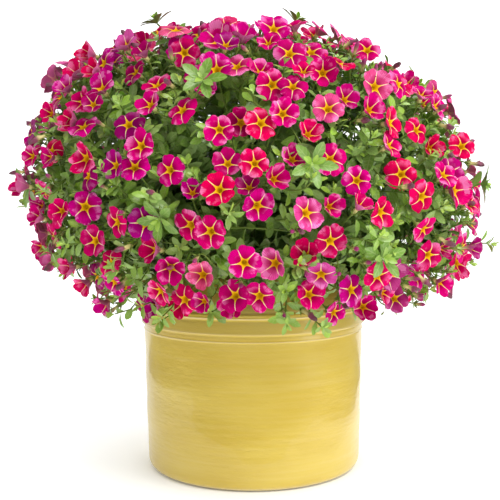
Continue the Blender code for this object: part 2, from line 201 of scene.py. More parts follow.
# The pot: wheel-thrown stoneware under a runny mustard glaze. The glaze breaks pale on the foot
# and on the arrises of the bands, pools dark in the grooves, and keeps the ripples of throwing.
# Painted shade of the overhanging foliage darkens the wall from the bands up to the lip.
def add_piece(name, patches, finishes, slot, *nodes):
    """One object from patches, each with its corners, faces, finish number and marks, where marks
    holds vectors by name for the corners. It rides on the pot and stands for the CAD nodes."""
    corners = np.concatenate([patch[0] for patch in patches])
    starts = np.cumsum([0] + [len(patch[0]) for patch in patches])
    loops, sizes, numbers = [], [], []
    for patch, start in zip(patches, starts):
        for faces in patch[1]:
            loops.append((np.asarray(faces) + start).ravel())
            sizes.append(np.full(len(faces), np.shape(faces)[1]))
            numbers.append(np.full(len(faces), patch[2]))
    loops, sizes, numbers = (np.concatenate(part) for part in (loops, sizes, numbers))
    mesh = bpy.data.meshes.new(name)
    mesh.vertices.add(len(corners))
    mesh.vertices.foreach_set("co", corners.astype(np.float32).ravel())
    mesh.loops.add(len(loops))
    mesh.loops.foreach_set("vertex_index", loops.astype(np.int32))
    mesh.polygons.add(len(sizes))
    mesh.polygons.foreach_set("loop_start", (np.cumsum(sizes) - sizes).astype(np.int32))
    mesh.polygons.foreach_set("material_index", numbers.astype(np.int32))
    for mark in sorted({mark for patch in patches for mark in patch[3]}):
        blank = np.zeros(3)
        values = [np.broadcast_to(patch[3].get(mark, blank), patch[0].shape) for patch in patches]
        layer = mesh.attributes.new(mark, "FLOAT_VECTOR", "POINT")
        layer.data.foreach_set("vector", np.concatenate(values).astype(np.float32).ravel())
    for finish in finishes:
        mesh.materials.append(finish)
    mesh.update(calc_edges=True)
    mesh.validate()
    mesh.shade_smooth()
    mesh.set_sharp_from_angle(angle=SHARP_FROM)
    piece = bpy.data.objects.new(name, mesh)
    bpy.context.scene.collection.objects.link(piece)
    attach(piece, "root")
    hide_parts(*nodes)
    return piece


def tube_faces(rings, sides):
    """Faces over closed rings of corners: quads between the rings, and a face over each end."""
    low = np.arange(rings - 1)[:, None] * sides + np.arange(sides)
    turn = np.roll(np.arange(sides), -1) - np.arange(sides)
    wall = np.stack([low, low + turn, low + turn + sides, low + sides], -1).reshape(-1, 4)
    first_end = np.arange(sides)[::-1].reshape(1, -1)
    last_end = (np.arange(sides) + (rings - 1) * sides).reshape(1, -1)
    return [wall, first_end, last_end]


SHARP_FROM = math.radians(60)
POT_SIDES = 160
FOOT_RADIUS, FOOT_ROUNDING = 97 * MM, 10 * MM
NECK_RADIUS, LIP_Z, WALL_THICKNESS, FLOOR_THICKNESS = 113.2 * MM, 199 * MM, 7.8 * MM, 11 * MM
# Height and radius of the wall, from above the rounded foot to below the lip
WALL = np.array([(10, 106.4), (60, 107.6), (134, 109), (144.6, 109.4), (146, 112), (157, 112.5),
                 (168, 112.8), (195.1, 113.2)]) * MM
# Height, how proud and half width of each turned bead, and of each groove beside a bead
BEADS = np.array([(139, 0.7, 0.8), (143.2, -0.3, 1.3), (146.6, 0.3, 0.9), (158, -0.2, 1.1),
                  (161, 0.7, 0.8), (165.8, -0.8, 1.7)]) * MM
foot = [(FOOT_RADIUS + (WALL[0, 1] - FOOT_RADIUS) * math.sin(a), FOOT_ROUNDING * (1 - math.cos(a)))
        for a in np.linspace(0, math.pi / 2, 7)]
# The rings of corners stand close together where the bands are
wall_z = np.concatenate([np.linspace(12, 132, 25), np.linspace(134, 170, 61),
                         np.linspace(173, 195.1, 8)]) * MM
wall_r = np.interp(wall_z, WALL[:, 0], WALL[:, 1])
for bead_z, proud, half_width in BEADS:
    wall_r = wall_r + proud * np.exp(-((wall_z - bead_z) / half_width) ** 2)
lip = [(NECK_RADIUS - WALL_THICKNESS / 2 * (1 - math.cos(a)),
        LIP_Z - WALL_THICKNESS / 2 * (1 - math.sin(a))) for a in np.linspace(0.2, math.pi, 12)]
inside = [(100 * MM, 22 * MM), (98 * MM, 15 * MM), (92 * MM, FLOOR_THICKNESS)]
outline = np.array(foot + list(zip(wall_r, wall_z)) + lip + inside)
turn = np.linspace(0, math.tau, POT_SIDES, endpoint=False)
# Throwing leaves the wall a little uneven, no more than the glaze's own thickness
UNEVEN, UNEVEN_FROM, UNEVEN_TO = 0.22 * MM, 20 * MM, 190 * MM
ring_r, ring_z = outline[:, :1], outline[:, 1:]
uneven = UNEVEN * np.sin(ring_z * 160 + 1.3 * np.sin(turn) + 0.8 * np.sin(3 * turn + 1))
radii = ring_r + uneven * (ring_z > UNEVEN_FROM) * (ring_z < UNEVEN_TO)
pot_corners = np.stack([radii * np.cos(turn), radii * np.sin(turn), np.broadcast_to(ring_z, radii.shape)],
                       -1).reshape(-1, 3)

# The fired glaze is satin under a thin glassy coat, so it mirrors the room softly, with crisp glints
glaze, glaze_surface = new_finish(
    "mustard_glaze", Roughness=0.32, Coat_Weight=0.42, Coat_Roughness=0.05, Specular_IOR_Level=0.55
)
on_pot = add_node(glaze, "TexCoord").outputs["Object"]
pot_z = add_node(glaze, "SeparateXYZ", {0: on_pot}).outputs["Z"]
# Size along x, y and z in mm: broad clouds where the glaze ran thicker, thin level streaks, the
# ripples of throwing, and the ragged strokes that break them
GLAZE_PATTERNS = {
    "clouds": ((111, 111, 45.5), {"Detail": 3}),
    "streaks": ((111, 111, 3.85), {"Detail": 5, "Roughness": 0.6}),
    "ripples": ((40, 40, 2.5), {"Detail": 2}),
    "strokes": ((11.76, 11.76, 4.35), {"Detail": 3, "Roughness": 0.6}),
}
patterns = {}
for name, (size, grain) in GLAZE_PATTERNS.items():
    stretched = add_node(glaze, "Mapping", {"Vector": on_pot, "Scale": 1 / (np.array(size) * MM)}).outputs[0]
    patterns[name] = add_node(glaze, "TexNoise", {"Vector": stretched, "Scale": 1, **grain}).outputs["Fac"]
body_colour = add_node(glaze, "ValToRGB", {0: patterns["clouds"]}, [(0.3, "#D0B136"), (0.72, "#DFC450")])
streak_share = add_node(glaze, "MapRange", {0: patterns["streaks"], 1: 0.42, 2: 0.72, 3: 0.0, 4: 0.2})
streaked = add_node(glaze, "Mix", {0: streak_share.outputs[0], 6: body_colour.outputs[0],
                                   7: linear("#E6D086")}, data_type="RGBA").outputs[2]
# How far the glaze breaks pale, and how dark it turns, at heights in mm up to the ramps' top. The
# dark ramp is pooling in the grooves, darker at the very foot, and painted shade of the foliage
# over the wall from the bands up to the lip.
RAMP_TOP = 200
PALE_TONES = [(0, 0.45), (2.2, 0.75), (3.5, 0.1), (6, 0), (135, 0), (138.5, 0), (139, 0.5), (139.3, 0.5),
              (139.8, 0), (145.2, 0), (145.9, 0.3), (146.6, 0.3), (147.4, 0), (159.9, 0), (160.6, 0.55),
              (161, 0.55), (161.6, 0), (196, 0), (198, 0.8)]
POOL_AND_SHADE_TONES = [(0, 0.5), (1.5, 0.2), (3, 0), (141, 0), (142.6, 0.15), (144, 0.3), (145, 0), (148, 0.3),
              (156.5, 0.4), (158.2, 0.4), (159.2, 0), (163, 0), (165, 0.9), (167.5, 0.7), (172, 0.75),
              (200, 0.8)]
up_pot = add_node(glaze, "MapRange", {0: pot_z, 1: 0.0, 2: RAMP_TOP * MM}).outputs[0]
tone = streaked
# The dark colour is both pooled glaze and painted shade of the foliage
for tones, colour in ((PALE_TONES, linear("#EBDDB4")), (POOL_AND_SHADE_TONES, linear("#7E6A14"))):
    stops = [(z / RAMP_TOP, value) for z, value in tones]
    share = add_node(glaze, "ValToRGB", {0: up_pot}, stops).outputs[0]
    tone = add_node(glaze, "Mix", {0: share, 6: tone, 7: colour}, data_type="RGBA").outputs[2]
glaze.node_tree.links.new(tone, glaze_surface.inputs["Base Color"])
ripple_bump = add_node(glaze, "Bump", {"Height": patterns["ripples"], "Strength": 0.6,
                                       "Distance": 0.24 * MM})
glaze_bump = add_node(glaze, "Bump", {"Height": patterns["strokes"], "Strength": 0.6, "Distance": 0.9 * MM,
                                      "Normal": ripple_bump.outputs[0]})
glaze.node_tree.links.new(glaze_bump.outputs[0], glaze_surface.inputs["Normal"])
add_piece("pot_glazed", [(pot_corners, tube_faces(len(outline), POT_SIDES), 0, {})], [glaze],
          "mustard_glaze", "pot")


# Potting soil: dark, matt peat with crumbs of bark, mounded a little towards the middle. It fills the
# pot from its floor to just under the lip.
SOIL_EDGE_Z, SOIL_MIDDLE_Z = 184 * MM, 188 * MM
SOIL_RADIUS, SOIL_LUMPS, CRUMB = 104.5 * MM, 0.7 * MM, 1.67 * MM
SOIL_RINGS, SOIL_SIDES = 30, 96
# Radius and height of the soil's underside, and of its side where the inside of the pot narrows
SOIL_FOOT = np.array([(91.448, 11.3), (99.4, 22.3)]) * MM


def soil_height(radius):
    """Height of the smooth top of the soil at a distance from the pot's axis."""
    return SOIL_MIDDLE_Z - (SOIL_MIDDLE_Z - SOIL_EDGE_Z) * (radius / SOIL_RADIUS) ** 2


draw = np.random.default_rng(11)
turn = np.linspace(0, math.tau, SOIL_SIDES, endpoint=False)
top_r = SOIL_RADIUS * np.linspace(1, 0.01, SOIL_RINGS)[:, None]
top_z = soil_height(top_r) + draw.normal(0, SOIL_LUMPS, (SOIL_RINGS, SOIL_SIDES))
top_z[0] = SOIL_EDGE_Z
radii = np.vstack([SOIL_FOOT[:, :1], top_r])
heights = np.vstack([np.repeat(SOIL_FOOT[:, 1:], SOIL_SIDES, axis=1), top_z])
soil_corners = np.stack([radii * np.cos(turn), radii * np.sin(turn), heights], -1).reshape(-1, 3)
earth, earth_surface = new_finish("potting_soil", Roughness=0.95, Specular_IOR_Level=0.2)
in_soil = add_node(earth, "TexCoord").outputs["Object"]
crumbs = add_node(earth, "TexVoronoi", {"Vector": in_soil, "Scale": 1 / CRUMB}).outputs["Color"]
peat = add_node(earth, "ValToRGB", {0: crumbs}, [(0, "#1D130C"), (1, "#5A4330")]).outputs[0]
earth.node_tree.links.new(peat, earth_surface.inputs["Base Color"])
add_piece("soil_crumbly", [(soil_corners, tube_faces(len(radii), SOIL_SIDES), 0, {})], [earth],
          "potting_soil", "soil")


# The plant's shape: each stem rises from the soil, leans out and ends just under a dome that the
# blooms and leaves fill. Its sizes are those of the CAD solids.
SHOOTS, SPRAYS_IN_NINE = 54, 5
GOLDEN_ANGLE = math.radians(137.508)
SHOOT_RING, SHOOT_LAST_ANGLE, SHOOT_SHARE = 86 * MM, math.radians(112), 0.84
DOME_CENTRE_Z, DOME_RADIUS, DOME_UP, DOME_DOWN = 262 * MM, 224 * MM, 174 * MM, 134 * MM
DOME_SQUARENESS, DOME_LEAN = 2.4, 0.12
STEM_CLEAR_OF_SOIL, STEM_RISE, STEM_LEAN, STEM_REACH = 4 * MM, 62 * MM, 18 * MM, 62 * MM
STEM_DROOP, STEM_STEEPEST = 1.15, math.radians(140)
HOLE_DEPTH = 24 * MM
STEM_STEPS = 17


def direction(angle, heading):
    """Unit vectors at angles from straight up and compass headings."""
    angle, heading = np.broadcast_arrays(angle, heading)
    return np.stack([np.sin(angle) * np.cos(heading), np.sin(angle) * np.sin(heading),
                     np.cos(angle)], -1)


def dome_point(angle, heading, depth=0.0):
    """Points of the plant's outer surface, or at a depth under it."""
    angle = np.asarray(angle, float)
    top = angle < math.pi / 2
    power = np.where(top, DOME_SQUARENESS, 2.0)
    tall = np.where(top, DOME_UP, DOME_DOWN)
    flat, up = abs(np.sin(angle)) / DOME_RADIUS, abs(np.cos(angle)) / tall
    reach = (flat**power + up**power) ** (-1 / power) - depth
    place = reach[..., None] * direction(angle, heading)
    return place + place[..., 2:] * (-DOME_LEAN, 0, 0) + (0, 0, DOME_CENTRE_Z)


def stem_line(shoot):
    """Points along a stem, from its foot in the soil to its tip."""
    share = math.sqrt((shoot + 0.5) / SHOOTS)
    heading = shoot * GOLDEN_ANGLE
    tip_angle = math.acos(1 - share**2 * (1 - math.cos(SHOOT_LAST_ANGLE)))
    outward = direction(math.pi / 2, heading)
    start = outward * share * SHOOT_RING
    start[2] = soil_height(share * SHOOT_RING) + STEM_CLEAR_OF_SOIL
    tip = dome_point(tip_angle, heading, (1 - SHOOT_SHARE) * DOME_UP)
    rise = start + outward * STEM_LEAN * share + (0, 0, STEM_RISE)
    last_angle = min(STEM_DROOP * tip_angle, STEM_STEEPEST)
    arrive = tip - direction(last_angle, heading) * STEM_REACH
    step = np.linspace(0, 1, STEM_STEPS)[:, None]
    curve = (start * (1 - step) ** 3 + rise * 3 * (1 - step) ** 2 * step
             + arrive * 3 * (1 - step) * step**2 + tip * step**3)
    foot = start - (rise - start) / np.linalg.norm(rise - start) * HOLE_DEPTH
    return np.vstack([foot, curve])


stems = [stem_line(shoot) for shoot in range(SHOOTS)]
flowers = [shoot * SPRAYS_IN_NINE % 9 < SPRAYS_IN_NINE for shoot in range(SHOOTS)]
node_names = []
for shoot, flowering in enumerate(flowers):
    number = flowers[:shoot + 1].count(flowering)
    node_names.append(f"{'flower_spray' if flowering else 'leafy_stem'}_{number:02d}")

# Every head is found again in the CAD node that carries it, by its hub: the one corner that all
# the spokes of a bloom or of a tuft of leaves run to. The five longest end at its tips.
WELD = 0.002 * MM
BLOOM_SPOKES, TUFT_SPOKES, TIPS = 10, 20, 5
SPOKE_SHORTEST, SPOKE_LONGEST, TIPS_ALIKE = 3 * MM, 26 * MM, 1 * MM
NECK_REACH, STALK_GUESS = 8 * MM, 30 * MM


def unit(vectors):
    return vectors / np.linalg.norm(vectors, axis=-1, keepdims=True)


def find_heads(node, spokes):
    """Hub, facing, first lobe or leaf, and foot of the stalk of each head in a CAD node."""
    mesh = frame["nodes"][node].data
    corners = np.empty(3 * len(mesh.vertices), np.float32)
    mesh.vertices.foreach_get("co", corners)
    keys, places = np.unique(np.round(corners.reshape(-1, 3) / WELD), axis=0, return_inverse=True)
    points, places = keys * WELD, places.ravel()
    ends = np.empty(2 * len(mesh.edges), np.int32)
    mesh.edges.foreach_get("vertices", ends)
    near = {}
    for one, other in places[ends].reshape(-1, 2):
        if one != other:
            near.setdefault(one, set()).add(other)
            near.setdefault(other, set()).add(one)
    found = []
    for hub, around in near.items():
        if len(around) != spokes:
            continue
        middle = points[hub]
        rim = np.array(sorted(around, key=lambda p: np.linalg.norm(points[p] - middle)))
        lengths = np.linalg.norm(points[rim] - middle, axis=1)
        if lengths[0] < SPOKE_SHORTEST or lengths[-1] > SPOKE_LONGEST:
            continue
        if lengths[-1] - lengths[-TIPS] > TIPS_ALIKE:
            continue
        tips = points[rim[-TIPS:]]
        spread = unit(tips - tips.mean(0))
        facing = unit(np.linalg.svd(spread)[2][2])
        if facing @ (tips.mean(0) - middle) < 0:
            facing = -facing
        necks = set().union(*(near[p] for p in rim)) - set(rim) - {hub}
        necks = {p for p in necks if np.linalg.norm(points[p] - middle) < NECK_REACH}
        feet = set().union(*(near[p] for p in necks)) - set(rim) - {hub} - necks
        feet = [points[p] for p in feet if (points[p] - middle) @ facing < -NECK_REACH]
        foot = np.mean(feet, axis=0) if feet else middle - STALK_GUESS * facing
        found.append((middle, facing, spread[0], foot))
    return found


bloom_finds, tuft_finds = [], []
for shoot, node in enumerate(node_names):
    finds = bloom_finds if flowers[shoot] else tuft_finds
    for found in find_heads(node, BLOOM_SPOKES if flowers[shoot] else TUFT_SPOKES):
        finds.append((shoot, *found))
bloom_shoot, bloom_hub, bloom_facing, bloom_lobe, bloom_foot = (
    np.array(part) for part in zip(*bloom_finds))

# The blooms: thin five-lobed corollas with a flared golden throat on a narrow tube. The petals are
# velvety, cherry to magenta, with a star of golden seams that pale towards the rim.
BLOOM_RADIUS = 14.3 * MM
THROAT_DEPTH = 3.0 * MM
PETAL_THICKNESS = 0.3 * MM
BLOOM_SIDES = 40
# Radius and height, in mm, of each ring from the bottom of the throat to the flat of the bloom
THROAT = np.array([(1.2, -5.2), (2.2, -2.3), (3.4, -0.6), (5.0, 0.15)])
LIMB_SHARES = np.array([0.28, 0.55, 0.8, 1.0])
UNDER_SHARES = np.array([0.98, 0.3])
TUBE = np.array([(1.7, -5.3), (2.0, -6.4), (1.9, -8.2), (1.6, -10.4), (1.3, -12.5)])
TUBE_SIDES = 10
around = np.linspace(0, math.tau, BLOOM_SIDES, endpoint=False)
off_middle = abs((5 * around / math.tau + 0.5) % 1 - 0.5)
seam_share = 0.5 - off_middle
draw = np.random.default_rng(5)


def corolla(size, rise, droop, cup, wave, fold, phase):
    """Corners of a bloom in its own frame, in mm: rings from the throat out and back under, with
    each ring's share of the bloom's radius and whether it is on the underside. rise, droop, cup and
    wave are heights in mm at the rim, and fold is how steeply two opposite sides are turned up."""
    lobed = 1 - 0.05 * np.exp(-((off_middle / 0.1) ** 2)) - 0.19 * (2 * off_middle) ** 3.5
    reach = BLOOM_RADIUS / MM * size
    edge = reach * lobed * (1 + 0.05 * np.sin(around + phase) + 0.03 * np.sin(7 * around + 3 * phase))
    rings = []
    for radius, height in THROAT:
        rings.append((np.full(BLOOM_SIDES, radius), np.full(BLOOM_SIDES, height), radius / reach, 0))
    start_radius, start_height = THROAT[-1]
    crease = 0.3 * np.exp(-((off_middle / 0.07) ** 2))
    for under, shares in ((0, LIMB_SHARES), (1, UNDER_SHARES)):
        for share in shares:
            radius = start_radius + (edge - start_radius) * share
            height = start_height + rise * share - droop * share**2
            height = height + cup * share * (np.cos(math.tau * off_middle) - crease)
            ripple = np.sin(2 * around + phase) + 0.6 * np.sin(5 * around + 2.3 * phase)
            height = height + wave * share**2 * ripple - under * PETAL_THICKNESS / MM
            height = height + fold * radius * share * abs(np.cos(around + phase))
            rings.append((radius, height, start_radius / reach + share * (1 - start_radius / reach), under))
    rings.append((np.full(BLOOM_SIDES, 1.5), np.full(BLOOM_SIDES, -5.5), 0.1, 1))
    corners = np.concatenate([np.stack([r * np.cos(around), r * np.sin(around), h], -1)
                              for r, h, _, _ in rings])
    marks = np.concatenate([np.stack([seam_share, np.full(BLOOM_SIDES, share),
                                      np.full(BLOOM_SIDES, float(under))], -1)
                            for _, _, share, under in rings])
    return corners, marks


def tube_corners(line, radii, sides):
    """Rings of corners round a line of points."""
    along = unit(np.gradient(line, axis=0))
    side = np.cross(along[0], (0.31, 0.52, 0.79))
    rings = []
    for point, axis, radius in zip(line, along, radii):
        side = unit(side - axis * (side @ axis))
        other = np.cross(axis, side)
        angle = np.linspace(0, math.tau, sides, endpoint=False)[:, None]
        rings.append(point + radius * (side * np.cos(angle) + other * np.sin(angle)))
    return np.concatenate(rings)


def round_patch(line, radii, sides, finish=1, tone=(0, 0, 0)):
    """A closed round body along a line, such as a stalk, tube, sepal or stem."""
    return tube_corners(line, radii, sides), tube_faces(len(line), sides), finish, {"tone": tone}


def bloom_patches(centre, axes, corners, petal_marks, tone):
    """A bloom at a centre: its petals, and the tube behind them, which is yellow where it opens."""
    tube_line = centre + TUBE[:, 1:] * MM * axes[2]
    yellow = np.repeat(np.linspace(0.9, 0.1, len(TUBE)), TUBE_SIDES)[:, None] * (1, 0, 0)
    return [
        (centre + corners * MM @ axes, corolla_faces, 0, {"petal": petal_marks, "tone": tone}),
        round_patch(tube_line, TUBE[:, 0] * MM, TUBE_SIDES, tone=yellow),
    ]


corolla_faces = tube_faces(len(THROAT) + len(LIMB_SHARES) + len(UNDER_SHARES) + 1, BLOOM_SIDES)
petal_patches = {shoot: [] for shoot in range(SHOOTS)}
green_patches = {shoot: [] for shoot in range(SHOOTS)}

petal, petal_surface = new_finish("velvety_petal", Roughness=0.5, Specular_IOR_Level=0.02)
marks = add_node(petal, "Attribute", attribute_name="petal").outputs["Vector"]
seam, reach, under = add_node(petal, "SeparateXYZ", {0: marks}).outputs
tones = add_node(petal, "Attribute", attribute_name="tone").outputs["Vector"]
hue, fade, chance = add_node(petal, "SeparateXYZ", {0: tones}).outputs
# Distance from the nearest seam in mm, and the half width of the golden ray there, which is a share
# of the widest that falls from the throat to the rim
RAY_WIDEST = 2.1
RAY_WIDTHS = [(0.0, 1.0), (0.2, 1.0), (0.27, 0.42), (0.38, 0.24), (0.7, 0.16), (0.93, 0.11), (1.0, 0.08)]
seam_arc = add_node(petal, "Math", {0: reach, 1: BLOOM_RADIUS / MM * math.tau / 5},
                    operation="MULTIPLY").outputs[0]
seam_distance = add_node(petal, "Math", {0: seam, 1: seam_arc}, operation="MULTIPLY").outputs[0]
width_share = add_node(petal, "ValToRGB", {0: reach}, RAY_WIDTHS).outputs[0]
ray_width = add_node(petal, "Math", {0: width_share, 1: RAY_WIDEST}, operation="MULTIPLY").outputs[0]
ray_depth = add_node(petal, "Math", {0: ray_width, 1: seam_distance}, operation="SUBTRACT").outputs[0]
ray = add_node(petal, "MapRange", {0: ray_depth, 1: -0.12, 2: 0.22},
               interpolation_type="SMOOTHSTEP").outputs[0]
ray_colour = add_node(petal, "ValToRGB", {0: reach}, [
    (0.1, "#CCA00C"), (0.2, "#E8B212"), (0.32, "#F0C02C"), (0.52, "#F8E290"), (1.0, "#FBF3DC"),
]).outputs[0]
fresh = add_node(petal, "Mix", {0: hue, 6: linear("#DE004E"), 7: linear("#C80088")},
                 data_type="RGBA").outputs[2]
faded_and_highlight_pink = add_node(petal, "Mix", {0: hue, 6: linear("#FF80B4"), 7: linear("#FA90D4")},
                 data_type="RGBA").outputs[2]
# Pale patches towards the rim, which a lobe has or hasn't, with finer mottling inside them. They
# are painted highlights of the lobes' sheen, in the pale pink that a few old blooms are washed with all over
PALE_PATCH = 8.33 * MM
on_petal = add_node(petal, "TexCoord").outputs["Object"]
mottle = add_node(petal, "TexNoise", {"Vector": on_petal, "Scale": 1 / PALE_PATCH,
                                      "Detail": 3}).outputs["Fac"]
patchy = add_node(petal, "MapRange", {0: mottle, 1: 0.52, 2: 0.61, 3: 0.0, 4: 1.0}).outputs[0]
rim_highlight_share = add_node(petal, "MapRange", {0: reach, 1: 0.42, 2: 0.95, 3: 0.0, 4: 0.9}).outputs[0]
rim_highlight_patches = add_node(petal, "Math", {0: rim_highlight_share, 1: patchy}, operation="MULTIPLY").outputs[0]
fade_and_highlight_share = add_node(petal, "Math", {0: rim_highlight_patches, 1: fade}, operation="ADD", use_clamp=True).outputs[0]
pink_with_highlights = add_node(petal, "Mix", {0: fade_and_highlight_share, 6: fresh, 7: faded_and_highlight_pink}, data_type="RGBA").outputs[2]
eye_share = add_node(petal, "MapRange", {0: reach, 1: 0.24, 2: 0.72, 3: 0.9, 4: 0.0}).outputs[0]
eyed = add_node(petal, "Mix", {0: eye_share, 6: pink_with_highlights, 7: linear("#8C0022")}, data_type="RGBA").outputs[2]
# Fine veins that fan out from the throat, and a dark crease down the middle of each lobe
VEINS_PER_LOBE = 10
vein_angle = add_node(petal, "Math", {0: seam, 1: VEINS_PER_LOBE * math.tau},
                      operation="MULTIPLY").outputs[0]
vein_wave = add_node(petal, "Math", {0: vein_angle}, operation="COSINE").outputs[0]
vein = add_node(petal, "MapRange", {0: vein_wave, 1: 0.4, 2: 1.0, 3: 0.0, 4: 0.35}).outputs[0]
crease = add_node(petal, "MapRange", {0: seam, 1: 0.44, 2: 0.5, 3: 0.0, 4: 0.4}).outputs[0]
lines = add_node(petal, "Math", {0: vein, 1: crease}, operation="MAXIMUM").outputs[0]
veined = add_node(petal, "Mix", {0: lines, 6: eyed, 7: linear("#A00044")}, data_type="RGBA").outputs[2]
# A few old blooms have turned plum, and the back of a petal is a paler pink than its face, made
# paler still as painted light shining through the thin petal
plum = add_node(petal, "MapRange", {0: chance, 1: 0.8, 2: 1.0, 3: 0.0, 4: 0.75}).outputs[0]
aged = add_node(petal, "Mix", {0: plum, 6: veined, 7: linear("#76065C")}, data_type="RGBA").outputs[2]
starred = add_node(petal, "Mix", {0: ray, 6: aged, 7: ray_colour}, data_type="RGBA").outputs[2]
# The back's pink is partly painted light that shines through the petal
back = add_node(petal, "Mix", {0: 0.7, 6: starred, 7: linear("#E27CB4")}, data_type="RGBA").outputs[2]
sided = add_node(petal, "Mix", {0: under, 6: starred, 7: back}, data_type="RGBA").outputs[2]
petal.node_tree.links.new(sided, petal_surface.inputs["Base Color"])

# Stalks, tubes and sepals are fresh green, smooth and a little waxy. Their tone says how far they
# have turned yellow, plum or brown.
green, green_surface = new_finish("young_green", Roughness=0.5, Specular_IOR_Level=0.4)
tones = add_node(green, "Attribute", attribute_name="tone").outputs["Vector"]
turned = linear("#738C38")
shares = add_node(green, "SeparateXYZ", {0: tones}).outputs
for share, colour in zip(shares, ("#E3D58A", "#9A2468", "#6E4650")):
    turned = add_node(green, "Mix", {0: share, 6: turned, 7: linear(colour)}, data_type="RGBA").outputs[2]
green.node_tree.links.new(turned, green_surface.inputs["Base Color"])

STALK_SIDES, STALK_STEPS = 5, 7
STALK_RADII = np.linspace(0.7475, 0.65, STALK_STEPS) * MM
SEPAL_LINE = np.array([(0, 0), (2.2, 3.2), (5.2, 5.6)]) * MM
SEPAL_RADII, SEPAL_SIDES = np.array([0.6, 0.95, 0.1]) * MM, 4


def sepal_patches(foot, side, other, facing):
    """Five narrow sepals round the foot of a tube."""
    patches = []
    for sepal in range(5):
        lean = math.tau * (sepal + 0.5) / 5
        outward = side * math.cos(lean) + other * math.sin(lean)
        line = foot + SEPAL_LINE[:, :1] * outward + SEPAL_LINE[:, 1:] * facing
        patches.append(round_patch(line, SEPAL_RADII, SEPAL_SIDES))
    return patches


def bent_line(start, end, leave, arrive):
    """A stalk's curve: it leaves its start and arrives at its end along two unit vectors."""
    pull = 0.35 * np.linalg.norm(end - start)
    step = np.linspace(0, 1, STALK_STEPS)[:, None]
    return (start * (1 - step) ** 3 + (start + leave * pull) * 3 * (1 - step) ** 2 * step
            + (end - arrive * pull) * 3 * (1 - step) * step**2 + end * step**3)


stalk_lines = []
for bloom, shoot in enumerate(bloom_shoot):
    facing = bloom_facing[bloom]
    side = unit(bloom_lobe[bloom] - facing * (bloom_lobe[bloom] @ facing))
    axes = np.stack([side, np.cross(facing, side), facing])
    centre = bloom_hub[bloom] + facing * THROAT_DEPTH
    rise, droop = draw.uniform(1.2, 3.4), draw.uniform(0.8, 4.4)
    size = draw.uniform(0.85, 1.06)
    fold = draw.uniform(0.25, 0.75) if draw.uniform() < 0.14 else 0
    petals = corolla(size, rise, droop, draw.uniform(0.5, 1.2), draw.uniform(0.3, 1.2), fold,
                     draw.uniform(0, math.tau))
    hue_here = np.clip(draw.normal(0.42, 0.28), 0, 1)
    fade_here = draw.uniform(0.15, 0.5) if draw.uniform() < 0.12 else 0
    petal_patches[shoot] += bloom_patches(centre, axes, *petals, (hue_here, fade_here, draw.uniform()))
    tube_end = centre + TUBE[-1, 1] * MM * facing
    petal_patches[shoot] += sepal_patches(tube_end, *axes)
    neck = tube_end + 0.5 * MM * facing
    stalk = bent_line(bloom_foot[bloom], neck, unit(neck - bloom_foot[bloom]), facing)
    stalk_lines.append(stalk)
    green_patches[shoot].append(round_patch(stalk, STALK_RADII, STALK_SIDES))

# The stems: green and juicy towards the tip, thicker and corky brown where they leave the soil.
# Their skin is fairly matt.
BROWN_BELOW, GREEN_ABOVE = 190 * MM, 260 * MM
stem_finish, stem_surface = new_finish("leafy_stem_skin", Roughness=0.55, Specular_IOR_Level=0.35)
on_stem = add_node(stem_finish, "TexCoord").outputs["Object"]
stem_z = add_node(stem_finish, "SeparateXYZ", {0: on_stem}).outputs["Z"]
youth = add_node(stem_finish, "MapRange", {0: stem_z, 1: BROWN_BELOW, 2: GREEN_ABOVE}).outputs[0]
stem_colour = add_node(stem_finish, "Mix", {0: youth, 6: linear("#6B5A34"), 7: linear("#647C34")},
                       data_type="RGBA").outputs[2]
stem_finish.node_tree.links.new(stem_colour, stem_surface.inputs["Base Color"])
STEM_RADII, STEM_SIDES = (2.3 * MM, 1.2 * MM), 8
for shoot, line in enumerate(stems):
    green_patches[shoot].append(round_patch(line, np.linspace(*STEM_RADII, len(line)), STEM_SIDES, 2))


# The leaves: thin oval blades with a folded midrib. They grow in a spiral along stems, stalks and
# side shoots, dark and broad deep in the plant, small and lime at the tips, with a soft sheen.
# Share of the length and of the width of each row of corners, from the base to near the tip
BLADE_ROWS = np.array([0.16, 0.42, 0.7, 0.92])
BLADE_WIDTHS = np.array([0.34, 0.9, 0.98, 0.48])
rows = len(BLADE_ROWS)
# Corner numbers: the base, the tip, then for each row its left edge, right edge and midrib
BASE, TIP = 0, 1
LEFT, RIGHT, RIB = (2 + 3 * np.arange(rows) + part for part in range(3))
blade_quads = np.concatenate([
    np.stack([LEFT[:-1], RIB[:-1], RIB[1:], LEFT[1:]], -1),
    np.stack([RIB[:-1], RIGHT[:-1], RIGHT[1:], RIB[1:]], -1),
])
blade_tris = np.array([
    (BASE, RIB[0], LEFT[0]), (BASE, RIGHT[0], RIB[0]), (LEFT[-1], RIB[-1], TIP), (RIB[-1], RIGHT[-1], TIP),
])
BLADE_CORNERS = 2 + 3 * rows


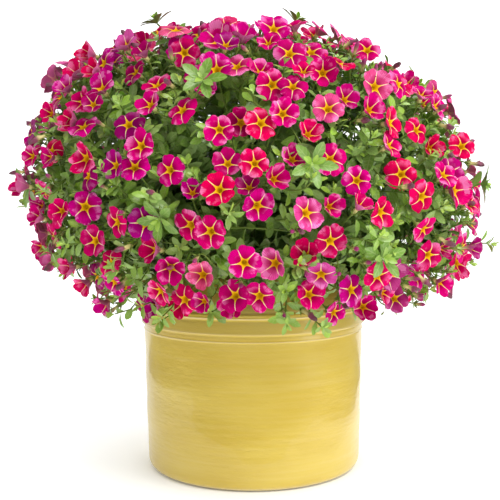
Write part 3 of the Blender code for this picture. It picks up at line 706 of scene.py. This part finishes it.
def leaf_patch(leaves):
    """Blades for leaves: (base, direction, upper side, length, width, bend, fold, age, tint)."""
    base, along, upper = (np.array([leaf[part] for leaf in leaves]) for part in range(3))
    length, width, bend, fold, age, tint = (np.array([leaf[part] for leaf in leaves])[:, None]
                                            for part in range(3, 9))
    upper = unit(upper - along * (upper * along).sum(-1, keepdims=True))
    across = np.cross(upper, along)
    step = np.concatenate([(0, 1), np.repeat(BLADE_ROWS, 3)])
    spread = np.concatenate([(0, 0), (BLADE_WIDTHS[:, None] * (-1, 1, 0)).ravel()]) * width / 2
    curve = np.where(abs(bend) < 0.02, 0.02, bend)
    forward = length * np.sin(curve * step) / curve
    rise = fold * abs(spread) - length * (1 - np.cos(curve * step)) / curve
    corners = (base[:, None] + forward[..., None] * along[:, None] + spread[..., None] * across[:, None]
               + rise[..., None] * upper[:, None])
    first = np.arange(len(leaves))[:, None, None] * BLADE_CORNERS
    faces = [(blade_quads + first).reshape(-1, 4), (blade_tris + first).reshape(-1, 3)]
    edge = np.concatenate([(0, 0), np.tile((1, 1, 0), rows)])
    leaf_marks = np.broadcast_to(np.stack([edge, step, 0 * step], -1), corners.shape)
    tone = np.broadcast_to(np.stack([age, tint, 0 * age], -1), corners.shape)
    return corners.reshape(-1, 3), faces, 0, {"leaf": leaf_marks.reshape(-1, 3), "tone": tone.reshape(-1, 3)}


leaf_finish, leaf_surface = new_finish(
    "soft_leaf", Roughness=0.33, Sheen_Weight=0.05, Sheen_Roughness=0.5, Specular_IOR_Level=0.6
)
marks = add_node(leaf_finish, "Attribute", attribute_name="leaf").outputs["Vector"]
edge, along, _ = add_node(leaf_finish, "SeparateXYZ", {0: marks}).outputs
tones = add_node(leaf_finish, "Attribute", attribute_name="tone").outputs["Vector"]
age, tint, _ = add_node(leaf_finish, "SeparateXYZ", {0: tones}).outputs
leaf_colour = add_node(leaf_finish, "ValToRGB", {0: age}, [
    (0.05, "#B8D83C"), (0.4, "#9AC42C"), (0.7, "#82B01E"), (1.0, "#66920E"),
]).outputs[0]
# A random share greys each leaf: partly the leaves' own sage tone, partly a painted sheen of light on their
# fine hairs
greyer = add_node(leaf_finish, "MapRange", {0: tint, 1: 0.0, 2: 1.0, 3: 0.05, 4: 0.6}).outputs[0]
sage_and_sheen = add_node(leaf_finish, "Mix", {0: greyer, 6: leaf_colour, 7: linear("#90AA72")},
                 data_type="RGBA").outputs[2]
# The midrib is pale, and side veins on each half run forward from it
SIDE_VEINS, VEIN_SLANT = 5, -0.24
rib = add_node(leaf_finish, "MapRange", {0: edge, 1: 0.0, 2: 0.14, 3: 0.55, 4: 0.0}).outputs[0]
vein_start = add_node(leaf_finish, "Math", {0: edge, 1: VEIN_SLANT, 2: along},
                      operation="MULTIPLY_ADD").outputs[0]
vein_turn = add_node(leaf_finish, "Math", {0: vein_start, 1: SIDE_VEINS * math.tau},
                     operation="MULTIPLY").outputs[0]
vein_wave = add_node(leaf_finish, "Math", {0: vein_turn}, operation="COSINE").outputs[0]
side_vein = add_node(leaf_finish, "MapRange", {0: vein_wave, 1: 0.55, 2: 1.0, 3: 0.0, 4: 0.3}).outputs[0]
pale = add_node(leaf_finish, "Math", {0: rib, 1: side_vein}, operation="MAXIMUM").outputs[0]
veined = add_node(leaf_finish, "Mix", {0: pale, 6: sage_and_sheen, 7: linear("#AFC27C")}, data_type="RGBA").outputs[2]
leaf_finish.node_tree.links.new(veined, leaf_surface.inputs["Base Color"])

# What leaves, shoots and buds keep clear of, besides the blooms' faces: the pot's wall from just
# inside it to just outside it, and all that lies lower than the soil
WALL_INNER, WALL_OUTER, RIM_TOP, SOIL_TOP = 102 * MM, 117 * MM, LIP_Z + 2 * MM, 190 * MM
CROWN_FROM = 80 * MM


def hits_bloom(points, front, margin):
    """Whether points lie in front of the face of a bloom, within a distance of it."""
    away = points[:, None] - bloom_hub[None]
    ahead = (away * bloom_facing).sum(-1)
    aside = np.linalg.norm(away - ahead[..., None] * bloom_facing, axis=-1)
    return ((ahead > -1 * MM) & (ahead < front) & (aside < BLOOM_RADIUS + margin)).any()


def in_pot(points):
    """Whether points lie in the pot's wall or under the soil's top."""
    radius = np.hypot(points[:, 0], points[:, 1])
    low = points[:, 2] < RIM_TOP
    return (low & (radius < WALL_OUTER) & ((radius > WALL_INNER) | (points[:, 2] < SOIL_TOP))).any()


def above_dome(point):
    """Whether a point near the top of the plant lies outside the plant's outer surface."""
    up = point[2] - DOME_CENTRE_Z
    if up <= CROWN_FROM:
        return False
    flat = math.hypot(point[0] + DOME_LEAN * up, point[1])
    return (flat / DOME_RADIUS) ** DOME_SQUARENESS + (up / DOME_UP) ** DOME_SQUARENESS > 1


# Of the leaves that would hide a bloom or stand out of the top of the dome, only these shares stay
HIDING_SHARE, STANDING_SHARE = 0.05, 0.2
LEAF_FRONT, LEAF_MARGIN = 34 * MM, 0.5 * MM


def grow_leaves(line, count, start, end, longest, shortest, spread, ages):
    """Leaves in a spiral along a line, from a start to an end share of it, out of the blooms' way.
    Lengths, spread (the angle between leaf and line) and ages change from the start to the end."""
    grown = []
    lengths = np.concatenate([[0], np.cumsum(np.linalg.norm(np.diff(line, axis=0), axis=1))])
    turn = draw.uniform(0, math.tau)
    for leaf in range(count):
        part = leaf / max(count - 1, 1)
        at = (start + (end - start) * part) * lengths[-1]
        base = np.array([np.interp(at, lengths, line[:, axis]) for axis in range(3)])
        nearby = min(np.searchsorted(lengths, at, side="right"), len(line) - 1)
        axis = unit(line[nearby] - line[nearby - 1])
        side = unit(np.cross(axis, (0.3, 0.5, 0.81)))
        turn += GOLDEN_ANGLE + draw.normal(0, 0.25)
        angle = spread[0] + (spread[1] - spread[0]) * part + draw.normal(0, 0.15)
        outward = side * math.cos(turn) + np.cross(axis, side) * math.sin(turn)
        along = unit(axis * math.cos(angle) + outward * math.sin(angle) + draw.normal(0, 0.12, 3))
        length = (longest + (shortest - longest) * part) * draw.uniform(0.82, 1.12)
        age = ages[0] + (ages[1] - ages[0]) * part + draw.normal(0, 0.08)
        width = length * (draw.uniform(0.3, 0.42) + 0.13 * age)
        points = base + along * length * np.array([[0.5], [1.0]])
        if in_pot(points):
            continue
        if hits_bloom(points, LEAF_FRONT, LEAF_MARGIN) and draw.uniform() > HIDING_SHARE:
            continue
        if above_dome(points[1]) and draw.uniform() > STANDING_SHARE:
            continue
        grown.append((base, along, axis + draw.normal(0, 0.15, 3), length, width, draw.normal(0.5, 0.3),
                      draw.uniform(0.1, 0.5), float(np.clip(age, 0, 1)), draw.uniform()))
    return grown


leaves = {shoot: [] for shoot in range(SHOOTS)}
for shoot, line in enumerate(stems):
    leaves[shoot] += grow_leaves(line[1:], 100, 0.14, 1.0, 24 * MM, 17 * MM, (1.25, 0.8), (1.0, 0.85))
for shoot, line in zip(bloom_shoot, stalk_lines):
    leaves[shoot] += grow_leaves(line, 10, 0.08, 0.85, 20 * MM, 13 * MM, (1.25, 1.1), (0.95, 0.6))

# The tufts: the five leaves that the CAD has at the end of each twig, and a heart of small young
# ones, which get paler inwards.
TUFT_LEAVES, HEART_LEAVES = 5, 6
TUFT_LENGTH, TUFT_WIDTH, TUFT_RISE = 22 * MM, 8.6 * MM, 12 * MM
HEART_LENGTH, HEART_SHORTER, HEART_RISE = 15 * MM, 1.4 * MM, 0.8 * MM
TWIG_RADIUS = 0.9 * MM
for shoot, hub, facing, first, foot in tuft_finds:
    side = unit(first - facing * (first @ facing))
    other = np.cross(facing, side)
    for leaf in range(TUFT_LEAVES):
        turn = math.tau * leaf / TUFT_LEAVES
        outward = side * math.cos(turn) + other * math.sin(turn)
        along = unit(outward * TUFT_LENGTH + facing * TUFT_RISE)
        leaves[shoot].append((hub, along, facing, TUFT_LENGTH * draw.uniform(0.88, 1.0), TUFT_WIDTH,
                              0.45, 0.3, draw.uniform(0.88, 1.0), draw.uniform(0.1, 0.6)))
    for leaf in range(HEART_LEAVES):
        turn = math.tau * 0.1 + GOLDEN_ANGLE * leaf
        outward = side * math.cos(turn) + other * math.sin(turn)
        along = unit(outward + facing * (0.6 + 0.35 * leaf))
        length = (HEART_LENGTH - HEART_SHORTER * leaf) * draw.uniform(0.85, 1.1)
        leaves[shoot].append((hub + facing * leaf * HEART_RISE, along, facing, length, length * 0.42,
                              0.5, 0.35, 0.55 - 0.08 * leaf, draw.uniform()))
    step = np.linspace(0, 1, STALK_STEPS)[:, None]
    twig = foot * (1 - step) + hub * step
    green_patches[shoot].append(round_patch(twig, np.full(STALK_STEPS, TWIG_RADIUS), STALK_SIDES))
    leaves[shoot] += grow_leaves(twig, 5, 0.35, 0.95, 20 * MM, 17 * MM, (1.2, 0.95), (0.85, 0.6))

# The side shoots fill the dome between the blooms. Each springs from a stem behind it, clear of the
# pot and of the blooms' faces, and ends in a rosette. A few sprigs stand out of the dome's sides.
SIDE_SHOOTS, SIDE_TRIES = 460, 12
SIDE_LAST_ANGLE = math.radians(122)
SIDE_DEPTHS, TOP_DEPTHS = (4 * MM, 28 * MM), (10 * MM, 30 * MM)
SPRIG_DEPTHS, SPRIG_SHARE, SPRIG_FROM = (-13 * MM, 4 * MM), 0.18, math.radians(52)
SIDE_RADII = np.linspace(0.95, 0.6, STALK_STEPS) * MM
SIDE_LEAF_SPACING, SIDE_FEWEST, SIDE_MOST = 3.6 * MM, 6, 18
SHOOT_FRONT = 30 * MM
# A shoot springs from the nearest point of a stem. One beside the shoot counts as this much farther
# than one behind it, and one nearer than the shortest shoot as a metre farther.
BEHIND, TOO_NEAR, SHORTEST_SIDE = 60 * MM, 1.0, 26 * MM
OUTWARD_FROM = np.array((0, 0, DOME_CENTRE_Z - 40 * MM))
BARE_STEM = 6
stem_points = np.concatenate([line[BARE_STEM:] for line in stems])
stem_owner = np.concatenate([np.full(len(line) - BARE_STEM, shoot) for shoot, line in enumerate(stems)])
for number in range(SIDE_SHOOTS):
    share = (number + 0.5) / SIDE_SHOOTS
    angle = math.acos(1 - share * (1 - math.cos(SIDE_LAST_ANGLE)))
    heading = number * GOLDEN_ANGLE + 2.1
    for _ in range(SIDE_TRIES):
        sprig = draw.uniform() < SPRIG_SHARE and angle > SPRIG_FROM
        depths = SPRIG_DEPTHS if sprig else SIDE_DEPTHS if angle > SPRIG_FROM else TOP_DEPTHS
        spot = dome_point(abs(angle + draw.normal(0, 0.05)), heading + draw.normal(0, 0.07),
                          draw.uniform(*depths))
        outward = unit(spot - OUTWARD_FROM)
        reach = np.linalg.norm(stem_points - spot, axis=1)
        cost = reach + BEHIND * (1 - unit(spot - stem_points) @ outward) + TOO_NEAR * (reach < SHORTEST_SIDE)
        root = int(np.argmin(cost))
        foot = stem_points[root]
        lean = unit(outward + (0, 0, 0.35) + draw.normal(0, 0.2, 3))
        line = bent_line(foot, spot, unit(spot - foot + (0, 0, 10 * MM)), lean)
        tip = spot + lean * 5 * MM
        if not hits_bloom(np.vstack([line[3:], tip]), SHOOT_FRONT, 0) and not in_pot(line):
            break
    else:
        continue
    shoot = stem_owner[root]
    green_patches[shoot].append(round_patch(line, SIDE_RADII, STALK_SIDES))
    count = int(np.clip(np.linalg.norm(spot - foot) / SIDE_LEAF_SPACING, SIDE_FEWEST, SIDE_MOST))
    leaves[shoot] += grow_leaves(line, count, 0.25, 0.95, 19 * MM, 14 * MM, (1.2, 0.95), (0.9, 0.5))
    rosette = np.vstack([spot - lean * 2 * MM, tip])
    leaves[shoot] += grow_leaves(rosette, 7, 0.2, 1.0, 13 * MM, 6 * MM, (1.1, 0.3), (0.45, 0.05))

# Buds, spent blooms and half-open blooms stand between the open ones on stalks of their own: a
# furled bud is lime with a plum tip, and a spent bloom is a pale tube with a shrivelled mauve limb.
SMALL_HEADS = np.repeat(("bud", "spent", "opening"), (90, 80, 160))
# Height and radius in mm, then how yellow, plum and brown each ring is
BUD_RINGS = np.array([
    (0, 0.9, 0.2, 0, 0), (3, 1.6, 0.4, 0, 0), (7, 1.3, 0.7, 0.1, 0), (10.5, 2.0, 0.5, 0.5, 0),
    (13.5, 2.1, 0.1, 0.9, 0), (16, 1.3, 0, 1, 0), (17.5, 0.3, 0, 1, 0),
])
SPENT_RINGS = np.array([
    (0, 1.0, 0.1, 0, 0), (3, 1.7, 0.5, 0, 0), (7, 1.3, 1, 0, 0), (10, 1.7, 0.9, 0.2, 0.1),
    (12.5, 2.3, 0, 0.8, 0.2), (15, 2.2, 0, 0.9, 0.4), (17.5, 1.7, 0, 0.7, 0.8), (19, 0.6, 0, 0.5, 1),
])
SMALL_SIDES, SMALL_TRIES = 8, 30
SMALL_LAST_ANGLE = math.radians(124)
INNER_DEPTHS, OUTER_DEPTHS = (10, 26), (2, 16)
SMALL_RADII = np.linspace(0.8, 0.6, STALK_STEPS) * MM
SMALL_LENGTH, SHORTEST_SMALL = 17 * MM, 20 * MM
# Half-open blooms grow from flowering shoots, turn to the light in front, and leave room for others
OPENING_HEIGHT, LIMB_ROOM = 12.5 * MM, 18 * MM
on_leafy = np.array([0 if flowers[shoot] else 1.0 for shoot in stem_owner])
limbs = bloom_hub + THROAT_DEPTH * bloom_facing
for number, kind in enumerate(draw.permutation(SMALL_HEADS)):
    opening, spent = kind == "opening", kind == "spent"
    share = (number + 0.5) / len(SMALL_HEADS)
    angle = math.acos(1 - share * (1 - math.cos(SMALL_LAST_ANGLE)))
    heading = number * GOLDEN_ANGLE + 4.4
    depths = INNER_DEPTHS if opening or angle < SPRIG_FROM else OUTER_DEPTHS
    for _ in range(SMALL_TRIES):
        spot = dome_point(abs(angle + draw.normal(0, 0.07)), heading + draw.normal(0, 0.1),
                          draw.uniform(*depths) * MM)
        outward = unit(spot - OUTWARD_FROM)
        to_light = max(0.0, 0.9 - abs(outward[1])) * opening * (outward[1] < 0.3)
        facing = unit(outward + (0, -to_light, -0.35 if spent else 0) + draw.normal(0, 0.3, 3))
        cost = np.linalg.norm(stem_points - spot, axis=1)
        cost = cost + BEHIND * (1 - unit(spot - stem_points) @ outward)
        root = int(np.argmin(cost + TOO_NEAR * (cost < SHORTEST_SMALL) + on_leafy * opening))
        shoot, foot = stem_owner[root], stem_points[root]
        line = bent_line(foot, spot, unit(spot - foot), facing)
        tip = spot + facing * SMALL_LENGTH
        if opening and np.linalg.norm(limbs - spot - facing * 13 * MM, axis=1).min() < LIMB_ROOM:
            continue
        if in_pot(np.vstack([line, tip])):
            continue
        if not hits_bloom(np.vstack([line[4:], tip]), SHOOT_FRONT, -1 * MM):
            break
    else:
        continue
    side = unit(np.cross(facing, (0.3, 0.5, 0.8)))
    axes = np.stack([side, np.cross(facing, side), facing])
    green_patches[shoot] += sepal_patches(spot, *axes)
    green_patches[shoot].append(round_patch(line, SMALL_RADII, STALK_SIDES))
    if opening:
        petals = corolla(draw.uniform(0.66, 0.88), draw.uniform(2, 7), draw.uniform(0, 2),
                         draw.uniform(0.6, 1.3), 0.6, max(0, draw.uniform(-0.4, 0.7)),
                         draw.uniform(0, math.tau))
        centre = spot + facing * OPENING_HEIGHT
        limbs = np.vstack([limbs, centre])
        petal_patches[shoot] += bloom_patches(centre, axes, *petals, (draw.uniform(0, 1), 0, draw.uniform()))
        continue
    rings = SPENT_RINGS if spent else BUD_RINGS * (draw.uniform(0.55, 1.05), draw.uniform(0.8, 1.0), 1, 1, 1)
    sway = np.cumsum(draw.normal(0, 0.35 if spent else 0.12, (len(rings), 3)), axis=0)
    axis_line = spot + (rings[:, :1] * facing + sway) * MM
    body, faces, *rest = round_patch(axis_line, rings[:, 1] * MM, SMALL_SIDES,
                                     tone=np.repeat(rings[:, 2:], SMALL_SIDES, axis=0))
    if spent:
        lumps = draw.normal(0, 0.28, (len(body), 1)) * np.repeat(rings[:, 1:2], SMALL_SIDES, axis=0) * MM
        body = body + lumps * unit(body - np.repeat(axis_line, SMALL_SIDES, axis=0))
    green_patches[shoot].append((body, faces, *rest))

# Every shoot is put together from its green parts and, where it flowers, its blooms. They stand
# for its CAD solid.
for shoot, node in enumerate(node_names):
    patches = [leaf_patch(leaves[shoot]), *green_patches[shoot]]
    add_piece(node + "_greens", patches, [leaf_finish, green, stem_finish], "foliage", node)
    if petal_patches[shoot]:
        add_piece(node + "_blooms", petal_patches[shoot], [petal, green], "petals", node)
